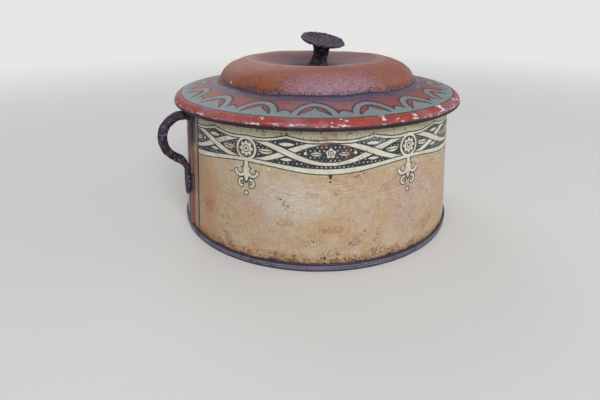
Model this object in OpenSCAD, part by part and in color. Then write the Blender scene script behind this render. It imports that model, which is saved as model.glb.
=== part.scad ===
// Round lidded tin with one ear handle, used as a bobbin box.
// Millimetres, +Z up. The origin is the centre of the base on the resting plane.
// The handle and the wall's side seam lie on the -X side.

/* [Sheet and folds] */
// Thickness of the tinplate
sheet_t = 0.3; // [0.25:0.01:0.4]
// Clearance between folded layers of sheet
fold_gap = 0.04; // [0.02:0.01:0.06]
// Points along each bend
bend_steps = 6; // [4:1:12]

/* [Pot] */
// Outside diameter of the double seam round the base
base_d = 152; // [120:1:190]
// Height of the pot to the top of its wired rim
pot_h = 68.9; // [55:0.1:90]
// How far the wall leans in between base and rim
wall_taper = 6.1; // [2:0.1:8]
// Height of the double seam round the base
seam_h = 4.1; // [3.4:0.1:5]
// Height of the base panel's centre above the resting plane
panel_z = 3.1; // [2:0.1:3.2]
// Corner radius of the base seam's channel
channel_r = 0.35; // [0.3:0.05:0.45]
// Diameter of the wire in the rim
rim_wire_d = 1.6; // [1.2:0.1:2.2]
// Width of the folded side seam
lock_seam_w = 4.6; // [4:0.1:6]
// Clear height between the side seam and the folds above and below it
lock_seam_end_gap = 0.8; // [0.5:0.1:2]

/* [Handle] */
// Thickness of the round handle rod
rod_d = 4.4; // [3.6:0.1:5]
// Radius of the handle's loop, to the middle of the rod
loop_r = 10.9; // [9:0.1:13]
// Distance of the loop's centre below the top of the rim
loop_drop = 18.5; // [17.9:0.1:27]
// Distance of the loop's centre from the middle of the wall
loop_out = 3.1; // [2.4:0.1:6]
// Angle at which the loop ends and the rod turns back down the wall
loop_turn = 67; // [55:1:75]
// Length of the flattened leaf that lies on the wall
leaf_l = 12; // [9:0.5:15]
// Width of the leaf
leaf_w = 7; // [6.4:0.1:9]
// Thickness of the leaf
leaf_t = 1.3; // [0.9:0.1:2]
// Width of solder that shows beside the handle's feet
solder_edge = 1; // [0.4:0.1:1.6]

/* [Lid] */
// How far the lid's wired edge stands out past the middle of the rim wire
brim_overhang = 5.23; // [4.4:0.01:8]
// Slope of the brim in degrees
brim_slope = 12.2; // [8:0.1:15]
// Radius of the turned-down edge of the brim
nose_r = 4.5; // [3:0.1:5.5]
// Diameter of the wire in the lid's edge
lid_wire_d = 1.5; // [1.2:0.1:2.2]
// Diameter of the dome at its foot
dome_d = 102.8; // [80:0.1:108]
// Diameter of the dome's crest
crest_d = 69; // [56:0.1:76]
// Height of the crest above the foot of the dome
dome_h = 10.9; // [8:0.1:16]
// Width of the hollow between brim and dome
foot_hollow = 2.6; // [1.5:0.1:4]
// Depth of the dish inside the crest
dish_depth = 4.9; // [3:0.1:7]
// Diameter of the flat floor of the dish
dish_floor_d = 20; // [16:0.1:30]
// Gap between the rim and the lid that rests on it
seat_gap = 0.3; // [0.2:0.05:0.5]
// Gap between the pot's mouth and the lid's collar
collar_gap = 0.45; // [0.3:0.05:1]
// Depth of the collar below the top of the rim
collar_depth = 8; // [5:0.1:12]
// Width of the fold along the collar's lower edge
hem_w = 2.4; // [1.5:0.1:3]
// Width of the overlap where the collar's ends meet
lap_w = 8; // [5:0.5:12]
// Width of the solder line inside the collar
collar_solder_w = 1.2; // [0.8:0.1:1.5]

/* [Knob] */
// Diameter of the knob's cap
cap_d = 22.6; // [18:0.1:30]
// Thickness of the cap at its rim
cap_t = 1.5; // [1.2:0.1:2.4]
// Depth of the hollow in the top of the cap
cap_hollow = 1.1; // [0.5:0.1:1.6]
// Diameter of the knob's waist
waist_d = 7.8; // [7:0.1:10]
// Diameter of the knob's foot
foot_d = 12; // [11:0.1:16]
// Height of the cap's rim above the foot
knob_h = 14.8; // [12:0.1:20]
// Lean of the knob in degrees
knob_lean = 15; // [0:0.5:17]
// Heading of the lean, from -Y towards +X in degrees
lean_heading = 10; // [-30:1:30]
// Place of the knob's rivet along X from the middle of the lid
knob_x = 0.9; // [-1.5:0.1:1.5]
// Place of the knob's rivet along Y from the middle of the lid
knob_y = -0.5; // [-1.5:0.1:1.5]
// Diameter of the rivet that holds the knob
rivet_d = 3; // [2.5:0.1:3.4]
// Length of rivet inside the knob
rivet_grip = 6; // [4:0.1:7]
// Diameter of the rivet's head
rivet_head_d = 6.4; // [5:0.1:7]
// Height of the rivet's head
rivet_head_h = 1.4; // [1:0.1:2]
// Clearance round the rivet
rivet_gap = 0.05; // [0.03:0.01:0.08]
// Diameter of the washer under the lid
washer_d = 9; // [8:0.1:14]
// Thickness of the washer
washer_t = 0.8; // [0.5:0.1:1.2]

/* [Hidden] */
$fn = 96;

// Folded sheet: the distance from one layer's middle to the next
pitch = sheet_t + fold_gap;

// Double seam, from the outside in: each layer's middle radius
seam_wall_r = base_d / 2 - sheet_t / 2;
body_hook_r = seam_wall_r - pitch;
cover_hook_r = body_hook_r - pitch;
wall_foot_r = cover_hook_r - pitch;
chuck_r = wall_foot_r - pitch;
fold_z = sheet_t + fold_gap + pitch + sheet_t / 2;
seam_top_z = seam_h - pitch - sheet_t / 2;
hook_end_gap = 0.3;

// Wall and rim
rim_curl_r = rim_wire_d / 2 + fold_gap + sheet_t / 2;
rim_bead_r = rim_curl_r + sheet_t / 2;
rim_wire_z = pot_h - rim_bead_r;
wall_start_z = seam_h + 0.2;
wall_top_r = wall_foot_r - wall_taper;
taper_angle = atan(wall_taper / (rim_wire_z - wall_start_z));
rim_wire_r = wall_top_r + rim_curl_r;
mouth_r = wall_top_r - sheet_t / 2;
curl_end = -70;

// Side seam, raised a little so that its flat layers cut the round wall cleanly
lock_lift = 0.03;
lock_face = lock_lift + 3 * pitch + sheet_t / 2;
lock_z0 = seam_h + lock_seam_end_gap;
lock_z1 = pot_h - 2 * rim_bead_r - lock_seam_end_gap;
lock_l = (lock_z1 - lock_z0) / cos(taper_angle);
lock_jog = 2 * pitch;
lock_lap = 1.2;
slot_margin = 0.6;

// Handle, in the wall's plane: outwards from the wall's middle, up along the wall
loop_z = pot_h - loop_drop;
rod_r = rod_d / 2;
leaf_mid = lock_face + leaf_t / 2;
turn_start = [loop_out + loop_r * cos(loop_turn), -loop_r * sin(loop_turn)];
turn_r = (turn_start[0] - leaf_mid) / (1 - cos(loop_turn));
turn_c = turn_start + turn_r * [cos(loop_turn), -sin(loop_turn)];
leaf_top = turn_c[1];
foot_pad_h = 6;
solder_clear = 0.02;
handle_sides = 16;
foot_rings = 4;
loop_rings = 22;
turn_rings = 10;
tip_rings = 6;

// Lid: the brim's line passes over the rim at the seat gap
lid_curl_r = lid_wire_d / 2 + fold_gap + sheet_t / 2;
lid_bead_r = lid_curl_r + sheet_t / 2;
seat_reach = rim_bead_r + seat_gap + sheet_t / 2;
seat = [rim_wire_r + seat_reach * sin(brim_slope), rim_wire_z + seat_reach * cos(brim_slope)];
nose_end = 15;
nose_r0 = rim_wire_r + brim_overhang - lid_bead_r
    - (nose_r - lid_curl_r) * cos(nose_end) + nose_r * sin(brim_slope);
nose_start = [nose_r0, brim_z(nose_r0)];
nose_c = nose_start - nose_r * [sin(brim_slope), cos(brim_slope)];
lid_wire_c = nose_c + (nose_r - lid_curl_r) * [cos(nose_end), sin(nose_end)];
lid_curl_end = -205;
dome_foot_r = dome_d / 2;
dome_z = brim_z(dome_foot_r) - 0.4;
dome_start = 8;
crest_z = dome_z + dome_h;
floor_z = crest_z - dish_depth;
floor_top = floor_z + sheet_t / 2;
floor_under = floor_z - sheet_t / 2;
dome_steps = 12;
dish_steps = 12;
rivet_hole_r = rivet_d / 2 + rivet_gap;

// Collar
collar_r = mouth_r - collar_gap - sheet_t / 2;
collar_top = brim_under_z(collar_r + sheet_t / 2) - solder_clear;
collar_bottom = pot_h - collar_depth;
lap_angle = lap_w / collar_r * 180 / PI;

// Colours
cream = [0.72, 0.62, 0.46];
red = [0.66, 0.26, 0.18];
bare_tin = [0.36, 0.32, 0.36];
rust = [0.29, 0.2, 0.22];
grey = [0.55, 0.55, 0.54];

// A point at radius r and angle a from c
function polar(c, r, a) = [c[0] + r * cos(a), c[1] + r * sin(a)];
// Points along an arc
function arc(c, r, a0, a1, n = bend_steps) = [for (i = [0:n]) polar(c, r, a0 + (a1 - a0) * i / n)];
// Points along a bend from a to b that leaves towards c and arrives from it
function bend(a, c, b, n = bend_steps) =
    [for (i = [0:n]) let (s = i / n) a * (1 - s) * (1 - s) + c * 2 * s * (1 - s) + b * s * s];
function unit(v) = v / norm(v);
function left(v) = [-v[1], v[0]];
function reversed(p) = [for (i = [len(p) - 1:-1:0]) p[i]];
function rest(p) = [for (i = [1:len(p) - 1]) p[i]];
// Direction of a path before and after its point i
function dir_in(p, i) = unit(p[max(i, 1)] - p[max(i, 1) - 1]);
function dir_out(p, i) = unit(p[min(i, len(p) - 2) + 1] - p[min(i, len(p) - 2)]);
// A path moved sideways by d, with mitred corners
function beside(p, d) =
    [for (i = [0:len(p) - 1])
        let (n = unit(left(dir_in(p, i)) + left(dir_out(p, i))))
        p[i] + n * d / (n * left(dir_in(p, i)))];
// Outline of a sheet of thickness t whose middle follows a path
function sheet_outline(p, t = sheet_t) = concat(beside(p, t / 2), reversed(beside(p, -t / 2)));

// Middle radius of the tapered wall at height z
function wall_r(z) = wall_foot_r - (z - wall_start_z) * tan(taper_angle);
// Height of the brim's middle and of its underside at radius r
function brim_z(r) = seat[1] - (r - seat[0]) * tan(brim_slope);
function brim_under_z(r) = brim_z(r) - sheet_t / 2 / cos(brim_slope);
// Eased mix of two numbers
function ease(s) = s * s * (3 - 2 * s);
function mix(a, b, s) = a + (b - a) * ease(s);

module revolve(path) {
    rotate_extrude()
        polygon(sheet_outline(path));
}

// Puts children on the wall's middle surface at the seam, -X outwards, +Z up the wall
module on_wall(z) {
    translate([-wall_r(z), 0, z])
        rotate([0, taper_angle, 0])
            children();
}

// Folded side seam: each edge of the wall's sheet hooks round the other
module lock_seam() {
    near = -lock_seam_w / 2;
    far = lock_seam_w / 2;
    first = concat(
        [[0, near - lock_lap]],
        arc([pitch, far - pitch], pitch, 180, 0),
        [[2 * pitch, near + 2 * pitch + hook_end_gap]]);
    second = concat(
        [[0, far + lock_jog + lock_lap], [0, far + lock_jog], [3 * pitch, far + lock_jog / 2]],
        arc([2 * pitch, near + pitch], pitch, 0, -180),
        [[pitch, far - 2 * pitch - hook_end_gap]]);
    on_wall(lock_z0)
        translate([-lock_lift, 0, 0])
            linear_extrude(lock_l)
                for (edge = [first, second])
                    polygon([for (p = sheet_outline(edge)) [-p[0], p[1]]]);
}

// Slot in the wall where its two edges leave it to form the side seam
module lock_slot() {
    depth = 4 * sheet_t;
    on_wall(lock_z0)
        translate([-depth / 2, -lock_seam_w / 2 - slot_margin, slot_margin])
            cube([depth, lock_seam_w + lock_jog + 2 * slot_margin, lock_l - 2 * slot_margin]);
}

// Tapered wall, hooked into the base's seam and rolled over the rim wire
module body_wall() {
    hook = concat(
        [[body_hook_r, seam_top_z - hook_end_gap]],
        arc([cover_hook_r, fold_z], pitch, 0, -180));
    rim = concat(
        [[wall_foot_r, wall_start_z]],
        arc([rim_wire_r, rim_wire_z], rim_curl_r, 180, curl_end, 3 * bend_steps));
    color(cream) {
        difference() {
            revolve(concat(hook, rim));
            lock_slot();
        }
        lock_seam();
    }
}

// Base sheet: a raised panel, a channel round it and the outer hook of the double seam
module base_plate() {
    panel = concat(
        [[0, panel_z]],
        arc([chuck_r - channel_r, panel_z - channel_r], channel_r, 90, 0));
    channel = concat(
        arc([chuck_r + channel_r, sheet_t / 2 + channel_r], channel_r, 180, 270),
        arc([seam_wall_r - channel_r, sheet_t / 2 + channel_r], channel_r, 270, 360));
    hook = concat(
        arc([body_hook_r, seam_top_z], pitch, 0, 180),
        [[cover_hook_r, fold_z + hook_end_gap]]);
    color(bare_tin)
        revolve(concat(panel, channel, hook));
}

module wire_ring(c, d) {
    rotate_extrude()
        translate(c)
            circle(d = d);
}

module rim_wire() {
    color(grey)
        wire_ring([rim_wire_r, rim_wire_z], rim_wire_d);
}

// One ring of the handle: middle, heading, half width across and half thickness
function handle_ring(m, h, across, thick, squareness) =
    [for (i = [0:handle_sides - 1])
        let (a = 360 * i / handle_sides, n = left(h))
        let (u = sign(cos(a)) * pow(abs(cos(a)), 2 / squareness) * across)
        let (w = sign(sin(a)) * pow(abs(sin(a)), 2 / squareness) * thick)
        [-(m[0] + n[0] * w), u, m[1] + n[1] * w]];

// Handle: a foot on the wall, a round loop, a reverse bend and a flat leaf with a round tip
function handle_foot() =
    [for (i = [0:foot_rings])
        let (s = i / foot_rings, flare = (1 - s) * (1 - s))
        handle_ring([lock_face + s * (loop_out - lock_face), loop_r], [1, 0],
                    rod_r + (leaf_w / 2 - rod_r) * flare, rod_r + (foot_pad_h / 2 - rod_r) * flare, 2)];
function handle_loop() =
    [for (i = [1:loop_rings])
        let (a = 90 - (90 + loop_turn) * i / loop_rings)
        handle_ring(polar([loop_out, 0], loop_r, a), [sin(a), -cos(a)], rod_r, rod_r, 2)];
function handle_turn() =
    [for (i = [1:turn_rings])
        let (s = i / turn_rings, a = 180 - loop_turn * (1 - s))
        handle_ring(polar(turn_c, turn_r, a), [-sin(a), cos(a)],
                    mix(rod_r, leaf_w / 2, s), mix(rod_r, leaf_t / 2, s), mix(2, 4, s))];
function handle_tip() =
    [for (i = [0:tip_rings])
        let (a = 84 * i / tip_rings)
        handle_ring([leaf_mid, leaf_top - leaf_l + leaf_w / 2 * (1 - sin(a))], [0, -1],
                    leaf_w / 2 * cos(a), leaf_t / 2 * mix(1, 0.7, i / tip_rings), 4)];

module handle() {
    rings = concat(handle_foot(), handle_loop(), handle_turn(), handle_tip());
    n = handle_sides;
    last = len(rings) - 1;
    sides = [for (r = [0:last - 1], i = [0:n - 1])
        [r * n + i, r * n + (i + 1) % n, (r + 1) * n + (i + 1) % n, (r + 1) * n + i]];
    ends = [reversed([for (i = [0:n - 1]) i]), [for (i = [0:n - 1]) last * n + i]];
    color(rust)
        on_wall(loop_z)
            polyhedron([for (ring = rings, p = ring) p], concat(sides, ends));
}

// Solder beside the seam, from under the handle's foot or leaf out to the wall
module solder_bed(middle, length) {
    low = lock_lift + sheet_t / 2 + solder_clear;
    high = lock_face - solder_clear;
    edge = leaf_w / 2;
    near = lock_seam_w / 2 + sheet_t / 2 + solder_clear;
    far = lock_seam_w / 2 + lock_jog + sheet_t;
    on_wall(loop_z)
        translate([0, 0, middle - length / 2])
            linear_extrude(length) {
                polygon([[-low, -near], [-high, -near], [-high, -edge], [-low, -edge - solder_edge]]);
                polygon([[-low, far], [-high, far - lock_jog / 2], [-high, edge],
                         [-low, edge + solder_edge]]);
            }
}

module handle_solder() {
    color(grey) {
        solder_bed(loop_r, foot_pad_h - solder_edge);
        solder_bed(leaf_top - (leaf_l - leaf_w / 2) / 2, leaf_l - leaf_w / 2);
    }
}

// Pressed lid: rivet hole, dish, dome, hollow, sloping brim and an edge rolled over a wire
module lid_pan() {
    floor_r = dish_floor_d / 2;
    crest_r = crest_d / 2;
    dish = [for (i = [0:dish_steps])
        let (s = i / dish_steps)
        [floor_r + (crest_r - floor_r) * s, floor_z + dish_depth * (1 - cos(180 * s)) / 2]];
    dome = [for (i = [1:dome_steps])
        let (a = 90 - (90 - dome_start) * i / dome_steps)
        [crest_r + (dome_foot_r - crest_r) * cos(a), dome_z + dome_h * sin(a)]];
    hollow_r = dome_foot_r + foot_hollow;
    hollow = bend(dome[dome_steps - 1], [dome_foot_r, brim_z(dome_foot_r)],
                  [hollow_r, brim_z(hollow_r)]);
    nose = arc(nose_c, nose_r, 90 - brim_slope, nose_end);
    curl = arc(lid_wire_c, lid_curl_r, nose_end, lid_curl_end, 3 * bend_steps);
    color(red)
        difference() {
            revolve(concat([[0, floor_z]], dish, dome, rest(hollow), nose, rest(curl)));
            on_rivet(floor_z - sheet_t)
                cylinder(h = 2 * sheet_t, r = rivet_hole_r);
        }
}

module lid_rim_wire() {
    color(grey)
        wire_ring(lid_wire_c, lid_wire_d);
}

// Collar under the lid that drops into the pot's mouth
module lid_collar() {
    inner_r = collar_r - sheet_t / 2;
    strip = concat(
        [[collar_r, collar_top]],
        arc([collar_r - pitch / 2, collar_bottom + pitch], pitch / 2, 0, -180),
        [[collar_r - pitch, collar_bottom + hem_w]]);
    lap_base = collar_bottom + hem_w + hook_end_gap;
    color(bare_tin) {
        revolve(strip);
        rotate([0, 0, -lap_angle / 2])
            rotate_extrude(angle = lap_angle)
                translate([inner_r - sheet_t, lap_base])
                    square([1.5 * sheet_t, collar_top - collar_solder_w - hook_end_gap - lap_base]);
    }
}

// Line of solder in the corner between lid and collar
module collar_solder() {
    inner_r = collar_r - sheet_t / 2;
    color(grey)
        rotate_extrude()
            polygon([
                [inner_r, collar_top],
                [inner_r - collar_solder_w, brim_under_z(inner_r - collar_solder_w) - solder_clear],
                [inner_r, collar_top - collar_solder_w]]);
}

// Puts children on the rivet's axis at height z
module on_rivet(z) {
    translate([knob_x, knob_y, z])
        children();
}

// Turned knob: flared foot, waist and a dished cap, cut flat where it stands on the lid
module knob() {
    foot_r = foot_d / 2;
    waist_r = waist_d / 2;
    cap_r = cap_d / 2;
    waist_z = knob_h * 0.5;
    sink = 2;
    under = cap_t + 0.2;
    foot = bend([foot_r + 0.5, -sink], [waist_r, 0.15 * knob_h], [waist_r, waist_z]);
    flare = bend([waist_r, waist_z], [waist_r, knob_h - under], [cap_r - cap_t / 2, knob_h - cap_t]);
    rim = arc([cap_r - cap_t / 2, knob_h - cap_t / 2], cap_t / 2, -90, 90);
    hollow = bend([cap_r - cap_t / 2, knob_h], [cap_r / 2, knob_h - cap_hollow],
                  [0, knob_h - cap_hollow]);
    color(rust)
        on_rivet(floor_top)
            difference() {
                rotate([knob_lean, 0, lean_heading])
                    rotate_extrude()
                        polygon(concat([[0, -sink]], foot, rest(flare), rest(rim), rest(hollow)));
                translate([0, 0, -foot_d / 2])
                    cube([2 * foot_d, 2 * foot_d, foot_d], center = true);
                translate([0, 0, -foot_d / 2])
                    cylinder(h = foot_d / 2 + rivet_grip + rivet_gap, r = rivet_hole_r);
            }
}

module knob_washer() {
    color(grey)
        on_rivet(floor_under - washer_t)
            difference() {
                cylinder(h = washer_t, d = washer_d);
                translate([0, 0, -washer_t])
                    cylinder(h = 3 * washer_t, r = rivet_hole_r);
            }
}

// Rivet with a rounded head under the washer
module knob_rivet() {
    seat_z = floor_under - washer_t;
    head_r = rivet_head_d / 2;
    head = bend([0, seat_z - rivet_head_h], [head_r, seat_z - rivet_head_h], [head_r, seat_z]);
    shank_r = rivet_d / 2;
    top = floor_top + rivet_grip;
    color(grey)
        on_rivet(0)
            rotate_extrude()
                polygon(concat(head, [[shank_r, seat_z], [shank_r, top], [0, top]]));
}

body_wall();
base_plate();
rim_wire();
handle();
handle_solder();
lid_pan();
lid_rim_wire();
lid_collar();
collar_solder();
knob();
knob_washer();
knob_rivet();
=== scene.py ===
import math
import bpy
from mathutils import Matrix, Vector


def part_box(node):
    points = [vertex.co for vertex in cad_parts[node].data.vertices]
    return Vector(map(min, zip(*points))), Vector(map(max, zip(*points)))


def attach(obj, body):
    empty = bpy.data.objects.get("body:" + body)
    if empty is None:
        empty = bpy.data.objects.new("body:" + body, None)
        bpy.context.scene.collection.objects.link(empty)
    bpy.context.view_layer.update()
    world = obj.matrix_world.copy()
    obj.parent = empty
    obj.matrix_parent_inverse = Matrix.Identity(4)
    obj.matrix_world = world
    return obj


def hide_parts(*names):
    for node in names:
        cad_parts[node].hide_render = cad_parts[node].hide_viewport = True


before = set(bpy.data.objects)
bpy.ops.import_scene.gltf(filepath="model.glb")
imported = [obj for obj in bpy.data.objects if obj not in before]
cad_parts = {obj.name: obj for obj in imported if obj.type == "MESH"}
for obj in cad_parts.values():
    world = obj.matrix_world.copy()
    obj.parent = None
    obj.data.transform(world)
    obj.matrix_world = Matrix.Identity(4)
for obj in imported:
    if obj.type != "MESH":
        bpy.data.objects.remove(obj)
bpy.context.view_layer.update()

from types import SimpleNamespace

import bpy
from mathutils import Matrix, Vector

bl_info = {
    "name": "Bobbin box",
    "version": (1, 0, 0),
    "blender": (4, 5, 0),
    "location": "3D View > Sidebar > Bobbin box",
    "description": "Round printed tin with a lid, a knob and one ear handle",
    "category": "Object",
}

MM = 0.001
SPIN_STEPS = 288
ANGLES = ("slope", "loop_turn", "lean", "lean_heading")

# Clearances at the ends of the folds, under the side seam and at the solder, in millimetres
FOLD_END = 0.3
LOCK_LIFT = 0.03
SOLDER_GAP = 0.02

# How far above the base seam the wall's lean starts, in millimetres
WALL_START = 0.2

# The wall's border: degrees of one repeat and where it starts, millimetres in a degree there
# and further down the wall, and the rows and spacing of its dots
WALL_REPEAT = 60
WALL_SHIFT = 35.35
WALL_DEGREE = 1.222
LOW_WALL_DEGREE = 1.25
DOT_ROW = 1.4
DOT_GAP = 1.85

# The lid's border: its arches and where they start, millimetres in a degree, and its outer radius
LID_ARCHES = 17
LID_SHIFT = 30.25
LID_DEGREE = 1.2
BORDER_R = 71.0

# Where the brim's edge turns in under the wire, and the flutes of the knob, in degrees
NOSE_END = 15
FLUTE_COLUMN = 5
FLUTE_COLUMNS = 6


def srgb(red, green, blue):
    """A colour given as sRGB levels, as the linear numbers that materials use."""
    def linear(level):
        level /= 255
        return level / 12.92 if level <= 0.04045 else ((level + 0.055) / 1.055) ** 2.4
    return tuple(linear(level) for level in (red, green, blue))


def length(default, name, description):
    return bpy.props.FloatProperty(
        name=name, description=description, default=default * MM, min=0, precision=5,
        subtype="DISTANCE", unit="LENGTH")


def colour(name, description, *chart):
    return bpy.props.FloatVectorProperty(
        name=name, description=description, default=srgb(*chart), min=0, max=1,
        size=3, subtype="COLOR")


def degrees(default, name, description):
    return bpy.props.FloatProperty(
        name=name, description=description, default=math.radians(default), subtype="ANGLE")


# ---------------------------------------------------------------- sizes and colours


class BobbinBoxSizes(bpy.types.PropertyGroup):
    """Sizes of the sheet, folds and fittings"""
    sheet: length(0.3, "Sheet", "Thickness of the tinplate")
    gap: length(0.04, "Fold gap", "Clearance between folded layers")
    base: length(152, "Base", "Outside diameter of the seam round the base")
    seam: length(4.1, "Base seam", "Height of the seam round the base")
    panel: length(3.1, "Base panel", "Height of the base panel above the floor")
    channel: length(0.35, "Channel bend", "Bend radius of the base seam")
    pot: length(68.9, "Pot", "Height of the pot to the top of its rim")
    taper: length(6.1, "Taper", "How far the wall leans in")
    rim_wire: length(1.6, "Rim wire", "Diameter of the wire in the pot's rim")
    lid_wire: length(1.5, "Lid wire", "Diameter of the wire in the lid's edge")
    side_seam: length(4.6, "Side seam", "Width of the folded side seam")
    brim_overhang: length(5.23, "Overhang", "How far the lid's edge stands out past the rim wire")
    nose: length(4.5, "Brim turn", "Radius of the turned-down edge of the brim")
    dome: length(102.8, "Dome", "Diameter of the dome at its foot")
    crest: length(69, "Crest", "Diameter of the dome's crest")
    dome_rise: length(10.9, "Dome height", "Height of the crest above the dome's foot")
    hollow: length(2.6, "Hollow", "Width of the hollow between brim and dome")
    dish: length(4.9, "Dish", "Depth of the dish inside the crest")
    dish_floor: length(20, "Dish floor", "Diameter of the flat floor of the dish")
    seat_gap: length(0.3, "Seat gap", "Gap between the rim and the lid on it")
    collar_gap: length(0.45, "Collar gap", "Gap between the pot's mouth and the collar")
    collar: length(8, "Collar", "Depth of the collar below the rim")
    hem: length(2.4, "Hem", "Width of the collar's fold")
    rod: length(4.4, "Rod", "Thickness of the handle's rod")
    loop: length(10.9, "Loop", "Radius of the handle's loop")
    loop_out: length(3.1, "Loop distance", "Distance of the loop's centre from the wall")
    loop_drop: length(18.5, "Loop drop", "Distance of the loop's centre below the rim")
    leaf: length(12, "Leaf", "Length of the handle's flattened end")
    leaf_width: length(7, "Leaf width", "Width of the flattened end")
    leaf_sheet: length(2.3, "Leaf thickness", "Thickness of the flattened end")
    cap: length(22.6, "Knob cap", "Diameter of the knob's cap")
    cap_edge: length(1.5, "Cap edge", "Thickness of the cap at its edge")
    cap_hollow: length(1.1, "Cap hollow", "Depth of the hollow in the cap")
    waist: length(7.8, "Waist", "Diameter of the knob's waist")
    foot: length(12, "Foot", "Diameter of the knob's foot")
    knob: length(14.8, "Knob", "Height of the knob")
    slope: degrees(12.2, "Slope", "Slope of the brim")
    loop_turn: degrees(67, "Loop turn", "Angle at which the loop turns back")
    lean: degrees(15, "Lean", "Lean of the knob")
    lean_heading: degrees(10, "Lean heading", "Heading of the lean, from -Y towards +X")


class BobbinBoxColours(bpy.types.PropertyGroup):
    """Colours of the print, the metal and the rust"""
    cream: colour("Cream", "Lacquer at the top of the wall", 190, 180, 146)
    tan: colour("Tan", "Lacquer of the wall", 186, 168, 144)
    # Also used for the painted shade down the left side of the wall
    honey_and_shade: colour("Honey", "Warm patches of the wall", 186, 150, 110)
    # Also used for the painted highlight on the wall's front left and for the top of the wall
    # painted paler against the brim's shadow
    strap_and_highlight: colour("Strap", "Pale straps of the border", 212, 210, 196)
    ink: colour("Ink", "Dark ground of the border", 38, 40, 50)
    stain: colour("Stain", "Brown stains in the lacquer", 140, 92, 54)
    blush: colour("Blush", "Pink cast of worn lacquer", 182, 150, 138)
    red: colour("Red", "Red lacquer of the brim", 152, 50, 44)
    edge: colour("Edge", "Orange red of the turned-down edge", 166, 66, 50)
    dome: colour("Dome red", "Faded red of the dome", 146, 80, 54)
    # Also used for the painted sheen on the front of the dome
    blush_red_and_sheen: colour("Faded red", "Pink cast of the worn red", 162, 112, 118)
    # Also used for the painted shade inside the lid's dish
    smoke_and_shade: colour("Smoke", "Purple grey dirt", 104, 78, 96)
    # Also used for the painted shade inside the lid's dish
    hollow: colour("Hollow", "Purple dirt in the lid's hollow and on the base seam", 84, 74, 98)
    # Also used for painted highlights: on the lid's crest, along the dome's foot below the sheen,
    # and on the base seam's rolls
    rub_and_highlight: colour("Haze", "Pale rubbed lines", 156, 148, 168)
    # Also used for painted shade round the knob's foot and in the crease at the dome's foot
    soot_and_shade: colour("Soot", "Dark dirt and outlines of the lid", 42, 38, 54)
    border: colour("Border", "Grey green of the lid's border", 124, 138, 136)
    chip: colour("Chip", "Bare spots where lacquer has flaked", 228, 225, 232)
    # Its purple is partly a painted reflection of blue surroundings
    rust: colour("Rust", "Brown purple rust", 60, 50, 68)
    rust_dark: colour("Dark rust", "Pits in the rust", 27, 22, 30)
    rust_red: colour("Red rust", "Red brown rust", 88, 52, 44)
    # Rubbed rust, its blue partly a painted reflection of blue surroundings
    pale_rust_and_reflection: colour("Pale rust", "Rubbed rust", 112, 106, 146)
    rust_orange: colour("Orange rust", "Fresh rust", 158, 94, 56)
    tin: colour("Tin", "Tarnished tin", 168, 163, 158)
    tin_dark: colour("Dark tin", "Dark tarnish", 122, 113, 111)
    wire: colour("Wire", "Wire and solder", 118, 110, 108)


def sizes():
    """Every length in millimetres and angle in radians, with those that follow from them."""
    group = bpy.context.scene.bobbin_box_sizes
    s = SimpleNamespace(**{name: getattr(group, name) / (1 if name in ANGLES else MM)
                           for name in BobbinBoxSizes.__annotations__})
    t = s.sheet
    pitch = s.pitch = t + s.gap
    s.seam_wall_r = s.base / 2 - t / 2
    s.hook_r = s.seam_wall_r - pitch
    s.cover_r = s.hook_r - pitch
    s.wall_foot_r = s.cover_r - pitch
    s.chuck_r = s.wall_foot_r - pitch
    s.fold_z = t + s.gap + pitch + t / 2
    s.seam_top_z = s.seam - pitch - t / 2
    s.rim_curl = s.rim_wire / 2 + s.gap + t / 2
    s.rim_z = s.pot - s.rim_curl - t / 2
    s.wall_z = s.seam + WALL_START
    s.wall_top_r = s.wall_foot_r - s.taper
    s.tilt = math.atan(s.taper / (s.rim_z - s.wall_z))
    s.rim_r = s.wall_top_r + s.rim_curl
    s.mouth_r = s.wall_top_r - t / 2
    s.lock_face = LOCK_LIFT + 3 * pitch + t / 2
    s.loop_z = s.pot - s.loop_drop
    s.lid_curl = s.lid_wire / 2 + s.gap + t / 2
    reach = s.rim_curl + t + s.seat_gap
    s.seat_r = s.rim_r + reach * math.sin(s.slope)
    s.seat_z = s.rim_z + reach * math.cos(s.slope)
    return s


def wall_radius(s, z):
    return s.wall_foot_r - (z - s.wall_z) * math.tan(s.tilt)


def brim_height(s, r):
    return s.seat_z - (r - s.seat_r) * math.tan(s.slope)


def arc(centre, radius, start, end, steps=8):
    """Points along an arc, from one angle to another in degrees."""
    turns = [math.radians(start + (end - start) * i / steps) for i in range(steps + 1)]
    return [(centre[0] + radius * math.cos(a), centre[1] + radius * math.sin(a)) for a in turns]


def bend(start, corner, end, steps=8):
    """Points along a bend that leaves towards the corner and arrives from it."""
    shares = [i / steps for i in range(steps + 1)]
    return [tuple(a * (1 - s) ** 2 + c * 2 * s * (1 - s) + b * s ** 2
                  for a, c, b in zip(start, corner, end)) for s in shares]


def spaced(path, gap):
    """The same path with points added so that no stretch is longer than the gap."""
    full = [path[0]]
    for a, b in zip(path, path[1:]):
        count = max(1, math.ceil(math.dist(a, b) / gap))
        full += [tuple(p + (q - p) * i / count for p, q in zip(a, b)) for i in range(1, count + 1)]
    return full


# ---------------------------------------------------------------- hand work


def pick(piece, choose):
    """Selects the corners of a piece that a test chooses, in millimetres, in edit mode."""
    bpy.ops.mesh.select_mode(type="VERT")
    bpy.ops.mesh.select_all(action="DESELECT")
    bpy.ops.object.mode_set(mode="OBJECT")
    for corner in piece.data.vertices:
        corner.select = bool(choose(corner.co / MM))
    bpy.ops.object.mode_set(mode="EDIT")


def turn(angle, axis, centre=(0, 0, 0)):
    """Turns what is selected about an axis, the right-handed way."""
    bpy.ops.transform.rotate(
        value=-angle, orient_axis=axis, orient_type="GLOBAL", center_override=centre)


def stretch(value, centre=(0, 0, 0)):
    bpy.ops.transform.resize(value=value, center_override=centre)


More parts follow.
